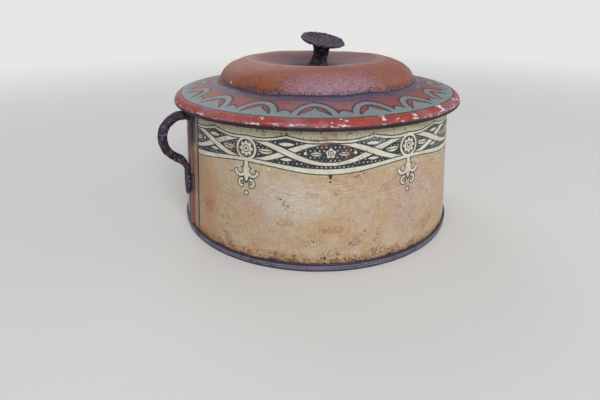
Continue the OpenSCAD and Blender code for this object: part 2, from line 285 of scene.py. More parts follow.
def started(name, place):
    """A new piece in edit mode: one corner at a place in millimetres."""
    bpy.ops.object.select_all(action="DESELECT")
    bpy.ops.mesh.primitive_circle_add(
        vertices=8, radius=MM, location=[value * MM for value in place])
    bpy.ops.object.transform_apply(location=True)
    piece = bpy.context.object
    piece.name = piece.data.name = name
    bpy.ops.object.mode_set(mode="EDIT")
    bpy.ops.mesh.select_all(action="SELECT")
    bpy.ops.mesh.merge(type="CENTER")
    return piece


def cleaned():
    bpy.ops.mesh.select_all(action="SELECT")
    bpy.ops.mesh.remove_doubles(threshold=0.01 * MM)
    bpy.ops.mesh.normals_make_consistent(inside=False)


def turned(name, path, steps=SPIN_STEPS):
    """Draws a path of radius and height with one corner, and spins it about the upright axis."""
    piece = started(name, (path[0][0], 0, path[0][1]))
    for (r0, z0), (r1, z1) in zip(path, path[1:]):
        bpy.ops.mesh.extrude_vertices_move(
            TRANSFORM_OT_translate={"value": ((r1 - r0) * MM, 0, (z1 - z0) * MM)})
    bpy.ops.mesh.select_all(action="SELECT")
    bpy.ops.mesh.spin(steps=steps, angle=2 * math.pi, center=(0, 0, 0), axis=(0, 0, 1))
    cleaned()
    bpy.ops.object.mode_set(mode="OBJECT")
    return piece


def face_out(piece, outward):
    """Turns a sheet over when its faces point away from the side that carries the print."""
    score = sum(outward(face.center / MM).dot(face.normal) * face.area
                for face in piece.data.polygons)
    if score < 0:
        bpy.ops.object.mode_set(mode="EDIT")
        bpy.ops.mesh.select_all(action="SELECT")
        bpy.ops.mesh.flip_normals()
        bpy.ops.object.mode_set(mode="OBJECT")


def apply(piece, kind, **settings):
    """Adds a modifier with its settings and applies it."""
    modifier = piece.modifiers.new(kind.title(), kind)
    for key, value in settings.items():
        setattr(modifier, key, value)
    bpy.context.view_layer.objects.active = piece
    bpy.ops.object.modifier_apply(modifier=modifier.name)


def dented(piece, depth, grain, where=None, depth_of=2):
    """Pushes a surface in and out by soft noise. where gives each corner its share."""
    clouds = bpy.data.textures.new(f"{piece.name}_{grain}", "CLOUDS")
    clouds.noise_scale = grain * MM
    clouds.noise_depth = depth_of
    group = ""
    if where:
        shares = piece.vertex_groups.new(name="dents")
        for corner in piece.data.vertices:
            shares.add([corner.index], max(0.0, min(1.0, where(corner.co / MM))), "REPLACE")
        group = shares.name
    apply(piece, "DISPLACE", texture=clouds, texture_coords="LOCAL", strength=depth * MM,
          mid_level=0.5, vertex_group=group)
    if where:
        piece.vertex_groups.clear()


def thickened(piece, thickness, outside, inside):
    """Gives a sheet its thickness, with one finish outside and one inside."""
    for name in (outside, inside):
        piece.data.materials.append(finish(name))
    apply(piece, "SOLIDIFY", thickness=thickness * MM, offset=0, use_even_offset=True,
          material_offset=1, material_offset_rim=0)


def smoothed(piece, angle=40):
    bpy.ops.object.select_all(action="DESELECT")
    piece.select_set(True)
    bpy.context.view_layer.objects.active = piece
    bpy.ops.object.shade_smooth_by_angle(angle=math.radians(angle))


def finished(piece, body, slot, *materials, replaces=()):
    for material in materials:
        piece.data.materials.append(material)
    smoothed(piece)
    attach(piece, body)
    if replaces:
        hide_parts(*replaces)


# ---------------------------------------------------------------- materials


class Value:
    """A number that varies over a surface. Python's operators add Math nodes."""

    def __init__(self, finish, socket):
        self.finish, self.socket = finish, socket

    def math(self, operation, *others):
        return self.finish.math(operation, self, *others)

    def __add__(self, other): return self.math("ADD", other)
    def __sub__(self, other): return self.math("SUBTRACT", other)
    def __mul__(self, other): return self.math("MULTIPLY", other)
    def __truediv__(self, other): return self.math("DIVIDE", other)
    def __neg__(self): return self.math("MULTIPLY", -1)
    def __abs__(self): return self.math("ABSOLUTE")
    def __radd__(self, other): return self.math("ADD", other)
    def __rmul__(self, other): return self.math("MULTIPLY", other)
    def __rsub__(self, other): return self.finish.math("SUBTRACT", other, self)
    def __rtruediv__(self, other): return self.finish.math("DIVIDE", other, self)

    def least(self, other): return self.math("MINIMUM", other)
    def most(self, other): return self.math("MAXIMUM", other)
    def repeat(self, width): return self.math("WRAP", width / 2, -width / 2)

    def rise(self, low, high):
        """0 up to low, 1 from high on, and smooth between them."""
        return self.finish.node(
            "ShaderNodeMapRange", {"interpolation_type": "SMOOTHSTEP"},
            {"Value": self, "From Min": low, "From Max": high})

    def fall(self, low, high):
        return 1 - self.rise(low, high)

    def line(self, half, soft=0.12):
        """1 within half of zero, with a soft edge."""
        return abs(self).fall(half - soft, half + soft)


class Nodes:
    """A node tree under work, empty at first."""

    def __init__(self, tree):
        self.tree = tree
        tree.nodes.clear()

    def node(self, kind, settings=None, sockets=None, output=0):
        """Any node: its settings come first, then the values or links of its sockets."""
        made = self.tree.nodes.new(kind)
        for key, value in (settings or {}).items():
            setattr(made, key, value)
        for key, value in (sockets or {}).items():
            socket = made.inputs[key]
            if isinstance(value, Value):
                self.tree.links.new(value.socket, socket)
            elif socket.type == "RGBA" and len(value) == 3:
                socket.default_value = (*value, 1)
            else:
                socket.default_value = value
        return Value(self, made.outputs[output]) if made.outputs else None

    def math(self, operation, *values):
        return self.node("ShaderNodeMath", {"operation": operation}, dict(enumerate(values)))

    def seen(self):
        """1 where the camera, a reflection or clear glass looks, 0 where light falls."""
        rays = ("Is Camera Ray", "Is Glossy Ray", "Is Transmission Ray")
        camera, glossy, clear = (self.node("ShaderNodeLightPath", output=ray) for ray in rays)
        return camera.most(glossy).most(clear)


class Finish(Nodes):
    """A material under work, with its coordinates in millimetres."""

    def __init__(self, name):
        self.material = bpy.data.materials.new(f"{name}_finish")
        self.material.use_nodes = True
        super().__init__(self.material.node_tree)
        place = self.node("ShaderNodeTexCoord", output="Object")
        self.place = self.node(
            "ShaderNodeVectorMath", {"operation": "SCALE"}, {0: place, "Scale": 1 / MM})
        self.x, self.y, self.z = self.split(self.place)

    def split(self, vector):
        first = self.node("ShaderNodeSeparateXYZ", None, {0: vector})
        return [Value(self, socket) for socket in first.socket.node.outputs]

    def join(self, x, y, z):
        return self.node("ShaderNodeCombineXYZ", None, {0: x, 1: y, 2: z})

    def mix(self, share, first, second):
        """The first colour where the share is 0, the second where it is 1."""
        return self.node("ShaderNodeMix", {"data_type": "RGBA"},
                         {0: share, 6: first, 7: second}, output=2)

    def coated(self, tone, *coats):
        """Lays one colour after another over a tone, each by its share."""
        for share, colour in coats:
            tone = self.mix(share, tone, colour)
        return tone

    def length(self, x, y):
        return (x * x + y * y).math("SQRT")

    def noise(self, size, detail=3, rough=0.55, vector=None, seed=0.0, warp=0.0):
        """Noise between 0 and 1 whose features are about size millimetres wide."""
        return self.node(
            "ShaderNodeTexNoise", {"noise_dimensions": "4D"},
            {"Vector": vector or self.place, "W": seed, "Scale": 1 / size, "Detail": detail,
             "Roughness": rough, "Distortion": warp})

    def cells(self, size):
        return self.node("ShaderNodeTexVoronoi", {"feature": "SMOOTH_F1"},
                         {"Vector": self.place, "Scale": 1 / size})

    def specks(self, size, share, radius, seed=0.0):
        """Round specks: one in a share of the cells, its radius a part of the cell's size."""
        cell = {"Vector": self.place, "W": seed, "Scale": 1 / size}
        kind = {"feature": "F1", "voronoi_dimensions": "4D"}
        chance = self.split(self.node("ShaderNodeTexVoronoi", kind, cell, output="Color"))[0]
        reach = self.node("ShaderNodeTexVoronoi", kind, cell, output="Distance")
        edge = reach + (self.noise(size * 0.22, 3, 0.65, seed=seed) - 0.5) * radius * 2.6
        return edge.fall(radius * 0.8, radius * 1.2) * chance.rise(1 - share, 1.001 - share)

    def streaks(self, across, along, seed=0.0):
        """Noise drawn out round the tin: across is its height, along its length."""
        flat = self.join(self.x / along, self.y / along, self.z / across)
        return self.noise(1, 3, 0.6, vector=flat, seed=seed)

    def angle(self):
        """Degrees round the tin from its -Y side, positive towards +X."""
        return self.math("ARCTAN2", self.x, -self.y) * (180 / math.pi)

    def shaded(self, base, rough, metallic=0.0, height=None, coat=0.0, coat_rough=0.25, ior=1.5,
               bump=1.0):
        """Ends the material with a surface. height is in millimetres."""
        sockets = {"Base Color": base, "Roughness": rough, "Metallic": metallic,
                   "Coat Weight": coat, "Coat Roughness": coat_rough, "IOR": ior}
        if height:
            sockets["Normal"] = self.node(
                "ShaderNodeBump", None, {"Height": height, "Distance": MM * bump, "Strength": 1.0})
        surface = self.node("ShaderNodeBsdfPrincipled", None, sockets)
        self.node("ShaderNodeOutputMaterial", None, {"Surface": surface})
        return self.material


def inks():
    """The colours of the file, by name."""
    palette = bpy.context.scene.bobbin_box_colours
    return SimpleNamespace(**{
        name: tuple(getattr(palette, name)) for name in BobbinBoxColours.__annotations__})


def border_on_wall(f, angle, z):
    """Interlaced straps with rosettes and drops on a dotted ground.

    Gives the ground and its dots as shares, and then the distance to the edge of the flat
    shapes and of the upper and lower strap, below zero inside them.
    """
    half_repeat = WALL_REPEAT / 2 * WALL_DEGREE
    across = (angle - WALL_SHIFT).repeat(WALL_REPEAT) * WALL_DEGREE
    side = abs(across)
    joint = half_repeat - side
    wave = math.pi / half_repeat
    middle, swing = 54.2, 4.6
    cosine = f.math("COSINE", across * wave)
    sine = f.math("SINE", across * wave)
    steep = (sine * sine * (swing * wave) ** 2 + 1).math("SQRT")
    width = 0.6 + sine * sine * 0.5
    first = abs((z - middle - cosine * swing) / steep) - width
    second = abs((z - middle + cosine * swing) / steep) - width
    turn_over = across.rise(-0.01, 0.01)
    over = second + (first - second) * turn_over
    under = first + (second - first) * turn_over
    foot = z - 47.9 + cosine * 1.5
    foot_strap = abs(foot) - 0.85 - cosine * 0.2

    def flower(x, y, radius, lobes):
        turn_at = f.math("ARCTAN2", x, y)
        reach = f.length(x, y)
        petals = reach - radius - f.math("COSINE", turn_at * lobes) * radius * 0.17
        return petals.most(radius * 0.2 - reach).most(0.2 - abs(reach - radius * 0.52))

    def leaf(x, y, long, wide):
        bow = 1 - (x / long) * (x / long)
        return abs(y) - bow * wide

    # In the eyes: a rosette with leaves, a bud with leaves, and curls by the crossings
    rosette = flower(joint, z - middle, 2.9, 8)
    rosette = rosette.least(abs(f.length(joint, z - middle) - 4.5) - 0.5)
    wing = leaf(joint - 9.2, z - middle - f.math("SINE", joint * 0.5) * 0.35, 3.8, 1.0)
    vein = 0.22 - abs(z - middle - f.math("SINE", joint * 0.5) * 0.35)
    wing = wing.most(vein)
    bud = flower(side, z - middle, 1.9, 5)
    sprig = leaf(side - 5.8, z - middle + 0.3, 2.8, 0.8).most(0.2 - abs(z - middle + 0.3))
    berry = f.length(side - 10.4, z - middle) - 0.65
    low_leaf = leaf(side - half_repeat / 2, z - 51.2, 2.6, 0.6)
    high_leaf = leaf(side - half_repeat / 2, z - 57.6, 3.4, 0.7)
    high_berry = f.length(side - half_repeat / 2, z - 61.9) - 0.5

    # Drops under the rosettes and under the buds
    slim = (z - 36).rise(0.0, 8)
    drop = f.length(joint, (z - 43.2) * 0.2) - 0.15 - slim * 1.15
    scroll_reach = f.length(joint - 3.1, z - 44.4)
    scroll = (abs(scroll_reach - 2.3) - 0.62).most(z - 46.3 + joint * 0.35)
    tail = (abs(f.length(joint - 2.2, z - 38.9) - 1.5) - 0.5).most(joint * -1 + 1.6)
    pearl = f.length(joint, z - 34.3) - 0.8
    finial = f.length(side, (z - 44.9) * 0.45) - 0.8
    tip = f.length(side, z - 41.9) - 0.5
    hanging = drop.least(scroll).least(tail).least(pearl)

    uneven = (f.noise(2.2, 2, seed=4) - 0.5) * 0.3
    flat = foot_strap.least(rosette).least(wing).least(bud).least(sprig).least(berry)
    flat = flat.least(low_leaf).least(high_leaf).least(hanging) + uneven
    solid = finial.least(tip).least(high_berry) + uneven
    over = over + uneven
    under = under + uneven
    arches = 59.2 + abs(sine) * 1.4 - abs(f.math("SINE", across * wave * 2)) * 1.2
    flat = flat.least(abs(z - arches) / 1.1 - 0.38 + uneven)
    ground = foot.rise(-0.1, 0.1) * (z + uneven - arches).fall(-0.1, 0.1)
    ground = ground.most(solid.fall(-0.08, 0.1))
    row = (z / DOT_ROW).math("FLOOR")
    dot = f.length((across + (row * 0.5).math("FRACT") * DOT_GAP).repeat(DOT_GAP),
                   z - row * DOT_ROW - DOT_ROW / 2)
    dots = dot.fall(0.24, 0.44) * f.noise(1.5, 1, seed=5).rise(0.34, 0.5)
    return ground, dots, flat, over, under


def printed_wall():
    """Cream lacquer with a border of interlaced straps on a dark dotted ground."""
    c = inks()
    f = Finish("printed_wall")
    z, angle = f.z, f.angle()
    seam = (angle + 90).repeat(360)
    printed = abs(seam).rise(8.0, 8.15)

    # Lacquer: cream above, tan below, with broad patches, fine mottle and brushing, a painted
    # highlight on the front left, painted shade down the left side, and the top painted paler
    # against the brim's shadow
    def patch(at_angle, at_z, wide, high):
        off = f.length((angle - at_angle) * LOW_WALL_DEGREE / wide, (z - at_z) / high)
        return (off + (ragged - 0.5) * 1.1).fall(0.35, 1.0)

    ragged = f.noise(7, 5, 0.7, seed=30, warp=0.3)
    fine = f.noise(1.3, 4, 0.7, seed=12)
    grit = f.noise(0.55, 2, 0.6, seed=31)
    broad = f.noise(24, 4, 0.6, seed=1)
    lacquer = f.mix(broad.rise(0.4, 0.64) * 0.8, c.tan, c.honey_and_shade)
    brush = f.streaks(0.42, 5, seed=2)
    weave = f.noise(1, 2, 0.6, vector=f.join(f.x / 0.5, f.y / 0.5, z / 5), seed=3)
    brushed = f.noise(21, 2, seed=34).rise(0.42, 0.6)
    lacquer = f.coated(
        lacquer,
        (f.noise(20, 4, 0.6, seed=7).rise(0.46, 0.66) * 0.8, c.cream),
        (f.noise(18, 3, seed=8).rise(0.5, 0.68) * 0.65, c.blush),
        (patch(6, 36, 17, 13) * 0.6, c.blush),
        (patch(-42, 32, 26, 14) * 0.55, c.blush),
        # Painted highlight: a pale patch on the front left of the wall, where the light falls most
        (patch(-38, 34, 24, 14) * 0.4, c.strap_and_highlight),
        ((z + (broad - 0.5) * 22).rise(44, 54) * 0.85, c.cream),
        # Painted light: the top of the wall made paler against the shadow under the lid's brim
        (z.rise(56, 62) * 0.35, c.strap_and_highlight),
        (brush.rise(0.46, 0.68) * (0.12 + brushed * 0.26), c.stain),
        (brush.fall(0.32, 0.48) * (0.12 + brushed * 0.3), c.strap_and_highlight),
        (weave.rise(0.54, 0.7) * (0.34 - brushed * 0.26), c.stain),
        (grit.rise(0.5, 0.7) * 0.3, c.stain),
        (grit.fall(0.3, 0.46) * 0.3, c.strap_and_highlight),
        (f.noise(3.5, 4, 0.65, seed=32).rise(0.5, 0.72) * 0.3, c.stain),
        # A warm tint down the left side of the wall, darker there as painted shade where the light
        # falls off
        (patch(-76, 16, 20, 40) * 0.85, c.honey_and_shade),
        (patch(-80, 18, 20, 40) * 0.26, c.rust_orange),
        ((1 - printed) * 0.5, c.stain))

    ground, dots, flat, over, under = border_on_wall(f, angle, z)
    tone = f.mix(f.noise(6, 3, seed=6).rise(0.35, 0.7) * 0.6, c.strap_and_highlight, c.cream)
    tone = f.mix(fine.rise(0.5, 0.7) * 0.3, tone, c.stain)
    inked = f.mix(ground, lacquer, f.mix(dots * 0.7, c.ink, c.strap_and_highlight))
    for shape in (under, over, flat):
        inked = f.mix(shape.fall(0.38, 0.56), inked, c.ink)
        inked = f.mix(shape.fall(-0.1, 0.1), inked, tone)
    thin = fine.rise(0.6, 0.66) * f.noise(9, 3, seed=33).rise(0.48, 0.6)
    inked = f.mix(printed * (1 - thin * 0.75), lacquer, inked)
    edge = (seam - 8.05) * WALL_DEGREE
    smudge = (z + (ragged - 0.5) * 9).rise(46, 50) * (abs(seam) + (ragged - 0.5) * 3).fall(5.6, 6.8)
    inked = f.coated(
        inked,
        ((edge + 0.3).line(0.85) * 0.95, c.ink),
        ((edge + 3.2).line(1.5, 0.8) * 0.4, c.blush),
        ((abs(seam) - 2.6 + (fine - 0.5) * 1.2).line(0.4, 0.3) * 0.6, c.rust_dark),
        (smudge * (0.6 + grit * 0.5), c.soot_and_shade))

    # Age: stains, smears, specks, flaked clusters near the rim and a rusty foot
    blot = f.noise(12, 5, 0.68, seed=9, warp=0.4).rise(0.56, 0.68)
    blot = blot.most(patch(-73.5, 22, 9, 5.5)).most(patch(-24.5, 20, 8, 3))
    blot = blot.most(patch(16, 14, 12, 4) * 0.7)
    stain = blot * (0.2 + grit.rise(0.35, 0.6) * 0.45 + fine.rise(0.45, 0.58) * 0.35)
    worn = f.mix(stain * 0.6, inked, c.stain)
    smear = f.noise(9, 4, 0.65, seed=13).rise(0.56, 0.7) * grit.rise(0.35, 0.6)
    low = z + (f.noise(6, 4, 0.7, seed=14) - 0.5) * 12
    foot_rust = low.fall(3.6, 8.5)
    foot_dark = low.fall(2.4, 4.6) * fine.rise(0.32, 0.5)
    cluster = f.noise(15, 3, 0.6, seed=16).rise(0.57, 0.66)
    cluster = cluster.most(patch(-25, 6.5, 11, 4)).most(patch(-17, 14, 4, 3))
    cluster = cluster.most(patch(-30, 62, 14, 4) * 0.8)
    high = (z + (f.noise(5, 4, 0.7, seed=18) - 0.5) * 11).rise(57.5, 64)
    rusty = fine.rise(0.56, 0.62) * cluster.most(high * 0.85)
    dark = f.specks(4.4, 0.55, 0.1, 1).most(f.specks(8, 0.4, 0.075, 2)).most(
        f.specks(1.9, 0.4, 0.22, 3) * cluster.most(high))
    brown = f.specks(2.6, 0.5, 0.18, 4)
    nick = f.specks(7, 0.25, 0.1, 5)
    worn = f.coated(
        worn,
        (blot * fine.rise(0.55, 0.62) * 0.5, c.rust_orange),
        (smear * 0.35, c.chip),
        (foot_rust * 0.4, c.stain),
        (low.fall(5.0, 9.5) * fine.rise(0.46, 0.53) * 0.75, c.stain),
        (low.fall(6.0, 9.0) * fine.rise(0.53, 0.58) * 0.8, c.rust_orange),
        (low.fall(4.5, 8.0) * fine.rise(0.58, 0.63) * 0.9, c.rust_dark),
        (foot_dark * 0.95, c.rust),
        (rusty * 0.85, c.rust),
        (dark * 0.92, c.rust_dark),
        (brown * 0.5, c.stain),
        (nick * 0.8, c.chip),
        ((z - 66.5).rise(-0.1, 0.5) * 0.8, c.rust_dark))

    bare = rusty.most(dark).most(foot_dark)
    rough = 0.4 + bare * 0.35 + stain * 0.15 + brush * 0.1
    relief = (brush * 0.02 + weave * 0.02 + grit * 0.03 - bare * 0.12 - nick * 0.08
              + f.noise(9, 2, seed=21) * 0.15
              + flat.least(over).least(under).fall(-0.1, 0.1) * printed * 0.02)
    return f.shaded(worn, rough, height=relief, coat=0.1 * (1 - bare), coat_rough=0.4, ior=1.42)


def bare_tin():
    """Tinned steel, grey and spangled, with brown tarnish."""
    c = inks()
    f = Finish("bare_tin")
    spangle = f.noise(6, 4, 0.65, seed=1, warp=0.5)
    fine = f.noise(1.1, 4, 0.7, seed=6)
    tone = f.mix(spangle.rise(0.36, 0.64), c.tin_dark, c.tin)
    rust = f.noise(9, 5, 0.7, seed=3).rise(0.55, 0.66)
    rough = 0.42 + rust * 0.3 + fine * 0.12
    relief = fine * 0.06 + rust * 0.05
    tone = f.coated(
        tone,
        (f.streaks(0.6, 18, seed=2).rise(0.44, 0.66) * 0.4, c.tin_dark),
        (fine.rise(0.5, 0.66) * 0.35, c.rust),
        (rust * 0.55, c.rust_red),
        (rust * fine.rise(0.5, 0.6) * 0.6, c.rust_orange),
        (f.specks(3, 0.4, 0.16, 4) * 0.8, c.rust_dark))
    return f.shaded(tone, rough, metallic=0.5 * (1 - rust), height=relief)


def printed_lid():
    """Red lacquer with a pale border of arches and leaves round the brim."""
    c = inks()
    f = Finish("printed_lid")
    r = f.length(f.x, f.y)
    angle = f.angle()
    repeat = 360 / LID_ARCHES
    local = (angle + LID_SHIFT).repeat(repeat)
    inward = BORDER_R - r
    across = local * LID_DEGREE

    def oval(u, v, wide, high):
        near = f.length(u / wide, v / high)
        push = f.length(u / (wide * wide), v / (high * high))
        return near * (near - 1) / push

    arch = oval(across, inward, 9.9, 12.8)
    arch_band = abs(arch + 1.3) - 1.3
    share = (inward / 10.4).most(0.0).least(1.0)
    rise = share.rise(0.12, 0.82)
    leaf = (abs(across) - (1 - rise) * 5.6 - (1 - share) * 0.7).most(inward - 10.6)
    scallop = oval((abs(local) - repeat / 2) * LID_DEGREE, inward, 3.3, 5.6)
    base_band = abs(inward - 0.85) - 0.85
    uneven = (f.noise(2.5, 2, seed=1) - 0.5) * 0.35
    border = arch_band.least(leaf).least(scallop).least(base_band).most(-inward) + uneven
    pale = border.fall(-0.1, 0.12)
    # The outline is thick on one side of each shape
    lopsided = 0.68 + across.rise(-1.5, 1.5) * 0.3 + f.noise(3, 2, seed=12).rise(0.4, 0.65) * 0.35
    outline = (border - lopsided).fall(-0.05, 0.2) * inward.rise(-0.75, -0.65)

    # Lacquer by zone: dish, dome, dirty hollow, brim and turned-down edge, with painted shade in
    # the dish, round the knob's foot and in the crease at the dome's foot, a painted sheen on the
    # dome's front and a painted highlight on the crest
    mottle = f.noise(7, 5, 0.65, seed=2, warp=0.3)
    grain = f.noise(0.6, 3, 0.65, seed=13)
    soft_r = r + (mottle - 0.5) * 2.2
    tone = f.mix(r.fall(51.2, 51.8), c.red, c.dome)
    # Painted sheen: a pale pink spot on the dome's low front, and beneath it a painted highlight
    # along the dome's foot
    sheen_spot = f.length(f.x + 19, (f.y + 46) * 1.4) + (mottle - 0.5) * 10
    # Painted shade inside the dish: darker purple towards its floor and at its back, with some dirt
    inner = f.mix(0.3 + mottle.rise(0.4, 0.7) * 0.6, c.dome, c.smoke_and_shade)
    inner = f.mix(f.noise(12, 4, seed=20).rise(0.45, 0.6) * 0.6, inner, c.hollow)
    shade = f.length(f.x * 0.8, f.y - 8) + (mottle - 0.5) * 14
    # Dark patch round the knob's foot: dirt, with painted shade under the cap
    soot_and_shade = (f.length(f.x, f.y) + (f.noise(6, 4, 0.6, seed=15) - 0.5) * 9).fall(11, 18)
    # Painted highlight along the crest's ridge, with rubbed lacquer there
    crest = (r - 35.2 + (f.noise(14, 3, seed=16) - 0.5) * 5).line(1.6, 1.1)
    crest = crest * f.noise(5, 4, 0.7, seed=22).rise(0.36, 0.56) * (0.4 + grain)
    rub = f.noise(1, 4, 0.65, vector=f.join(r / 0.6, f.x / 12, f.y / 12), seed=4)
    hollow = (r + (mottle - 0.5) * 1.5 - 54.1).line(2.6, 0.35)
    sheen = sheen_spot.fall(14, 34) * r.rise(45.5, 50) * (r - 51.5).fall(0, 0.3) * grain.fall(0.35, 0.62)
    grime = (r + (mottle - 0.5) * 3).rise(50.7, 51.3) * (r - 51.7).fall(0, 0.3)
    grime = grime * grain.rise(0.44, 0.54)
    edge = r.rise(70.9, 71.8)
    tone = f.coated(
        tone,
        (f.noise(24, 3, seed=3).rise(0.45, 0.68) * 0.6, c.rust_orange),
        (mottle.rise(0.48, 0.74) * 0.4, c.smoke_and_shade),
        (f.noise(19, 4, 0.6, seed=5).rise(0.48, 0.66) * soft_r.fall(50, 52) * 0.35, c.blush_red_and_sheen),
        # Painted sheen on the dome's low front
        (sheen_spot.fall(10, 30) * r.rise(40, 47) * 0.85, c.blush_red_and_sheen),
        # Painted shade inside the dish
        ((r + (f.noise(11, 3, seed=14) - 0.5) * 6).fall(27, 34) * 0.9, inner),
        (shade.fall(12, 26) * r.fall(24, 31) * 0.6, c.smoke_and_shade),
        # Dirt and painted shade round the knob's foot
        (soot_and_shade * 0.9, c.soot_and_shade),
        # Painted highlight along the crest
        (crest * 0.6, c.rub_and_highlight),
        (hollow * 0.92, c.hollow),
        (hollow * rub.rise(0.52, 0.62) * 0.6, c.rub_and_highlight),
        # Painted highlight along the dome's foot below the sheen
        (sheen * 0.5, c.rub_and_highlight),
        (grime * 0.7, c.soot_and_shade),
        # Painted shade: a dark line in the crease at the dome's foot
        ((r - 51.95).line(0.4, 0.15) * 0.9, c.soot_and_shade),
        ((soft_r - 58.5).line(2.2, 1.6) * rub.rise(0.35, 0.62) * 0.6, c.hollow),
        (edge * 0.7, c.edge),
        (edge * f.noise(14, 3, seed=17).rise(0.48, 0.62) * 0.6, c.blush_red_and_sheen),
        (edge * f.noise(8, 4, 0.7, seed=21).rise(0.54, 0.64) * 0.6, c.smoke_and_shade),
        (grain.rise(0.5, 0.64) * 0.55, c.rust),
        (f.noise(0.5, 1, seed=23).rise(0.6, 0.68) * 0.5, c.soot_and_shade),
        (grain.fall(0.3, 0.45) * 0.34, c.blush_red_and_sheen))

    counter = (arch + 2.6).fall(-0.3, 0.3) * inward.rise(0.5, 1.5)
    inked = f.mix(counter * 0.5, tone, c.red)
    green = f.mix(f.noise(4, 4, seed=6).rise(0.4, 0.75) * 0.45, c.border, c.rub_and_highlight)
    green = f.mix(grain.rise(0.46, 0.68) * 0.4, green, c.soot_and_shade)
    inked = f.coated(
        inked,
        (outline * 0.95, c.soot_and_shade),
        (pale, green))

    # Age: grit, scuffs and flakes along the turned-down edge
    scuff = f.noise(3.4, 5, 0.75, seed=7).rise(0.62, 0.68)
    worn = f.mix(scuff * 0.5, inked, c.rust)
    grit = f.specks(2.4, 0.45, 0.14, 1).most(f.specks(6, 0.4, 0.1, 2))
    grit = grit.most(f.specks(1.5, 0.45, 0.2, 5) * edge)
    low_edge = (f.z + (f.noise(4, 2, seed=18) - 0.5) * 1.2).fall(66.7, 67.7) * r.rise(72.8, 73.2)
    where = (low_edge * f.noise(15, 2, seed=24).rise(0.43, 0.5)).most(
        edge * f.noise(8, 1, seed=19).rise(0.57, 0.6))
    worms = f.noise(1, 4, 0.65, vector=f.join(f.x / 3.2, f.y / 3.2, f.z / 1.0), seed=8)
    flake = worms.rise(0.545, 0.565) * where
    chip = f.specks(7, 0.3, 0.1, 3).most(f.specks(4, 0.2, 0.12, 4) * edge)
    bead = (f.z + (mottle - 0.5) * 0.9).fall(66.0, 66.6) * r.rise(72.2, 72.6)
    rough = 0.46 + mottle * 0.2 + scuff * 0.2 + soot_and_shade * 0.15
    relief = (grain * 0.09 + mottle * 0.08 - scuff * 0.05 - flake * 0.12 - chip * 0.1 - grit * 0.05
              + pale * 0.02)
    worn = f.coated(
        worn,
        (grit * 0.75, c.soot_and_shade),
        (flake.most(chip) * 0.95, c.chip),
        (bead * 0.96, f.mix(mottle.rise(0.5, 0.7) * 0.6, c.rust_dark, c.rust)))
    return f.shaded(worn, rough, height=relief, coat=0.05 * (1 - scuff), coat_rough=0.4, ior=1.33)


def rusty_iron():
    """Wrought iron gone brown and purple with pitted rust, its purple and blue partly a painted
    reflection of blue surroundings.
    """
    c = inks()
    f = Finish("rusty_iron")
    broad = f.noise(3.4, 4, 0.6, seed=1)
    fine = f.noise(0.9, 4, 0.7, seed=2)
    lumps = f.cells(1.7).fall(0.1, 0.7)
    tone = f.mix(broad.rise(0.42, 0.62), c.rust, c.rust_dark)
    pits = f.noise(1.5, 3, 0.6, seed=4).fall(0.36, 0.44)
    rough = 0.42 + fine * 0.35
    relief = fine * 0.5 - pits * 0.5 + broad * 0.6 + lumps * 0.35
    tone = f.coated(
        tone,
        (f.noise(3, 4, 0.7, seed=3).rise(0.52, 0.62) * 0.75, c.rust_red),
        (f.noise(1.8, 3, 0.65, seed=6).rise(0.54, 0.64) * 0.8, c.pale_rust_and_reflection),
        (fine.rise(0.6, 0.7) * 0.5, c.rub_and_highlight),
        (f.noise(1.4, 3, 0.65, seed=7).rise(0.62, 0.7) * 0.7, c.rust_orange),
        (pits * 0.9, c.rust_dark))
    return f.shaded(tone, rough, metallic=0.1, height=relief, bump=1.4, ior=1.4)


def seam_tin():
    """Bare tin of the base seam, dark, streaked round, with pale rubbed lines and painted
    highlights along its rolls, and rusty at the foot.
    """
    c = inks()
    f = Finish("seam_tin")
    streak = f.streaks(0.4, 14, seed=1)
    fine = f.noise(0.9, 4, 0.7, seed=5)
    tone = f.mix(streak.rise(0.42, 0.6), c.rust, c.hollow)
    # Pale lines along the seam's rolls: rubbed tin, and painted highlights
    line = (f.z - 1.3 - streak * 0.6).line(0.3, 0.25).most((f.z - 2.7).line(0.3, 0.2))
    rust = f.noise(5, 5, 0.7, seed=2).rise(0.5, 0.62)
    rough = 0.42 + rust * 0.3
    relief = streak * 0.1 + fine * 0.1
    tone = f.coated(
        tone,
        (line * fine.rise(0.3, 0.5) * 0.75, c.rub_and_highlight),
        (rust * 0.8, c.rust),
        (fine.rise(0.55, 0.64) * 0.6, c.pale_rust_and_reflection),
        (f.noise(2.2, 4, 0.7, seed=3).rise(0.6, 0.7) * 0.6, c.rust_orange),
        (f.z.fall(0.1, 0.8) * 0.5, c.rust_dark),
        ((f.z - 3.7).line(0.45, 0.3) * 0.7, c.rust_dark),
        (f.noise(0.6, 2, seed=4).rise(0.7, 0.75) * 0.5, c.chip))
    return f.shaded(tone, rough, metallic=0.4 * (1 - rust), height=relief)


def seam_strip():
    """Lacquer of the side seam, worn through to dark metal along its middle."""
    c = inks()
    f = Finish("seam_strip")
    tone = f.mix(f.noise(6, 4, seed=1).rise(0.3, 0.75) * 0.7, c.stain, c.smoke_and_shade)
    ragged = f.noise(5, 4, 0.6, seed=2)
    bare = (f.y + (ragged - 0.5) * 2.5).line(1.1, 0.5).most((f.z + (ragged - 0.5) * 9).rise(45, 50))
    tone = f.coated(
        tone,
        (f.noise(1.3, 4, 0.7, seed=5).rise(0.4, 0.65) * 0.5, c.smoke_and_shade),
        (bare * 0.85, c.rust),
        (f.noise(1.2, 3, 0.7, seed=3).rise(0.6, 0.7) * 0.4, c.rust_orange))
    return f.shaded(tone, 0.45 + bare * 0.25, height=f.noise(1, 3, seed=4) * 0.06)


